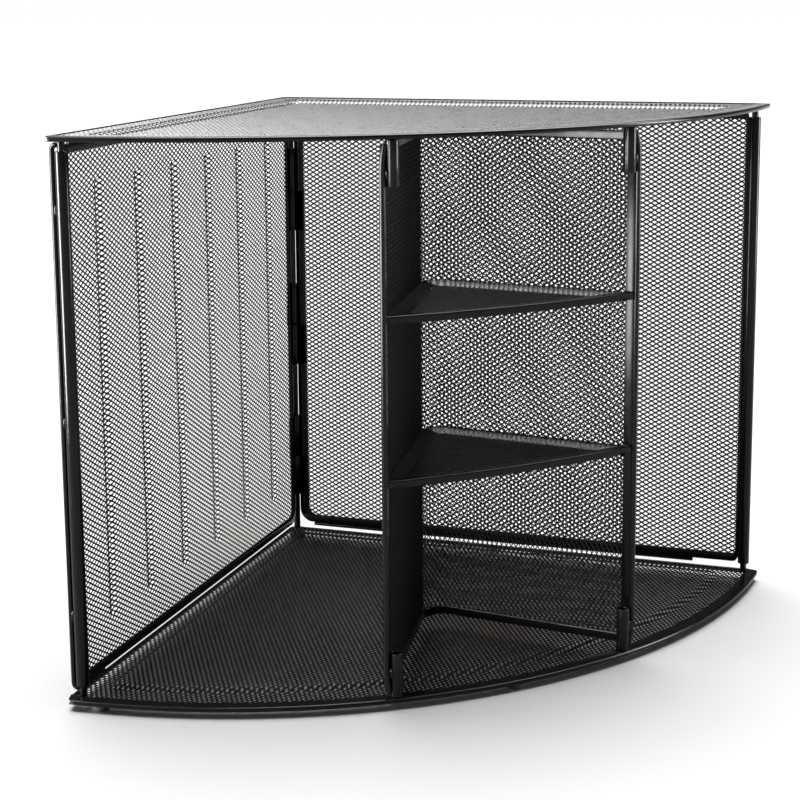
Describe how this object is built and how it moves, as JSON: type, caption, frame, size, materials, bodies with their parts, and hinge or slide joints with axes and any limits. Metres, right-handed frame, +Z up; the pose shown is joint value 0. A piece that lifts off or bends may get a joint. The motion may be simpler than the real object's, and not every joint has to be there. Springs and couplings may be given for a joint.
{
  "type": "corner desk organizer",
  "caption": "Quarter-round black wire mesh corner desk organizer with two trays, hinged mesh walls and a V-shaped shelf unit.",
  "frame": {"origin": "centre of the bounding box on the floor, under the rubber feet", "axes": "+Z up; the rear wall runs along X on the +Y side and the side wall along Y on the -X side; the curved open front faces +X and -Y"},
  "size_m": [0.36, 0.36, 0.34],
  "materials": {
    "coated_mesh": "semi-matt black powder coat on expanded mesh",
    "coated_steel": "semi-gloss black powder coat",
    "rubber_feet": "matt black rubber"
  },
  "bodies": {
    "base_tray": {"base_tray_mesh": "coated_mesh", "base_tray_front_rim": "coated_steel", "base_tray_side_hem": "coated_steel", "base_tray_rear_hem": "coated_steel", "base_wall_pins": "coated_steel", "base_unit_pins": "coated_steel", "rubber_feet": "rubber_feet"},
    "top_tray": {"top_tray_mesh": "coated_mesh", "top_tray_front_rim": "coated_steel", "top_tray_side_hem": "coated_steel", "top_tray_rear_hem": "coated_steel", "top_wall_pins": "coated_steel", "top_unit_pins": "coated_steel"},
    "hinged_walls": {"side_wall_mesh": "coated_mesh", "side_wall_hem": "coated_steel", "side_wall_tube": "coated_steel", "side_wall_wire": "coated_steel", "side_wall_knuckles": "coated_steel", "side_wall_welds": "coated_steel", "side_wall_lug": "coated_steel", "rear_wall_mesh": "coated_mesh", "rear_wall_hem": "coated_steel", "rear_wall_tube": "coated_steel", "rear_wall_wire": "coated_steel", "rear_wall_knuckles": "coated_steel", "rear_wall_welds": "coated_steel", "rear_wall_bar": "coated_steel", "hinge_rod": "coated_steel"},
    "shelf_unit": {"unit_mesh": "coated_mesh", "unit_top_hem": "coated_steel", "unit_bottom_hem": "coated_steel", "unit_left_upright": "coated_steel", "unit_right_upright": "coated_steel", "unit_top_sockets": "coated_steel", "unit_bottom_sockets": "coated_steel", "unit_welds": "coated_steel", "upper_shelf_mesh": "coated_mesh", "upper_shelf_rim": "coated_steel", "lower_shelf_mesh": "coated_mesh", "lower_shelf_rim": "coated_steel"}
  },
  "joints": [
    {"name": "top_tray_lift", "type": "slide", "parent": "base_tray", "child": "top_tray", "axis": [0, 0, 1], "range_m": [0, 0.08]},
    {"name": "shelf_unit_lift", "type": "slide", "parent": "base_tray", "child": "shelf_unit", "axis": [0, 0, 1], "range_m": [0, 0.04]},
    {"name": "walls_lift", "type": "slide", "parent": "base_tray", "child": "hinged_walls", "axis": [0, 0, 1], "range_m": [0, 0.02]}
  ],
  "couplings": [
    {"joint": "shelf_unit_lift", "follows": "top_tray_lift", "ratio": 0.5},
    {"joint": "walls_lift", "follows": "top_tray_lift", "ratio": 0.25}
  ]
}
